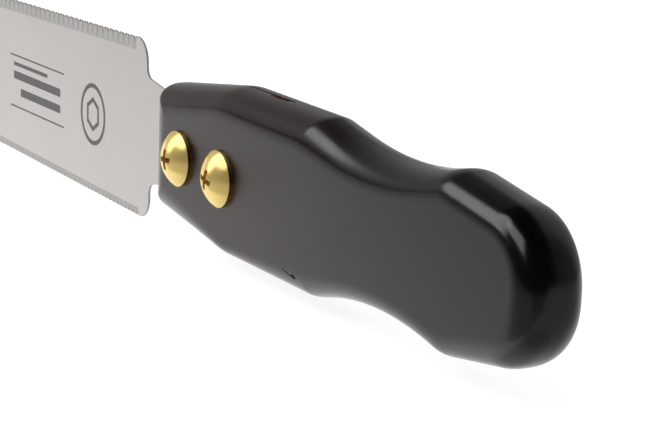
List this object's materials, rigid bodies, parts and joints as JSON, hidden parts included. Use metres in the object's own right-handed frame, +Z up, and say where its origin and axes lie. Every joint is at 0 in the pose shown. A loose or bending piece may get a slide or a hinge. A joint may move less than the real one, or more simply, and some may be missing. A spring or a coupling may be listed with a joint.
{
  "type": "double-edged pull saw",
  "caption": "Small flush-cutting pull saw: a thin steel blade toothed along both long edges, held in a kerfed black hardwood grip by brass sleeve screws.",
  "frame": {"origin": "middle of the grip, on the handle's centreline and in the plane of the blade", "axes": "+X along the saw from the blade's tip towards the handle's butt, +Y through its thickness from the screw heads to the sleeve-nut heads, +Z up across its width towards the coarse teeth"},
  "size_m": [0.2871, 0.0168, 0.0344],
  "materials": {
    "handle_wood": "black-stained hardwood, oiled to a soft sheen",
    "blade_steel": "satin ground across the blade",
    "brass": "turned and lightly polished"
  },
  "bodies": {
    "saw": {"handle": "handle_wood", "blade": "blade_steel"},
    "front_screw": {"front_screw": "brass"},
    "rear_screw": {"rear_screw": "brass"},
    "front_sleeve_nut": {"front_sleeve_nut": "brass"},
    "rear_sleeve_nut": {"rear_sleeve_nut": "brass"}
  },
  "joints": [
    {"name": "front_nut_slide", "type": "slide", "parent": "saw", "child": "front_sleeve_nut", "axis": [0, 1, 0], "range_m": [0, 0.0049]},
    {"name": "front_screw_turn", "type": "hinge", "parent": "saw", "child": "front_screw", "pos_m": [-0.04995, 0, -0.00035], "axis": [0, -1, 0], "range_deg": [0, 2520]},
    {"name": "rear_nut_slide", "type": "slide", "parent": "saw", "child": "rear_sleeve_nut", "axis": [0, 1, 0], "range_m": [0, 0.0049]},
    {"name": "rear_screw_turn", "type": "hinge", "parent": "saw", "child": "rear_screw", "pos_m": [-0.03355, 0, -0.00085], "axis": [0, -1, 0], "range_deg": [0, 2520]}
  ],
  "couplings": [
    {"joint": "front_screw_turn", "follows": "front_nut_slide", "rad_per_m": 8975.9},
    {"joint": "rear_screw_turn", "follows": "rear_nut_slide", "rad_per_m": 8975.9}
  ]
}
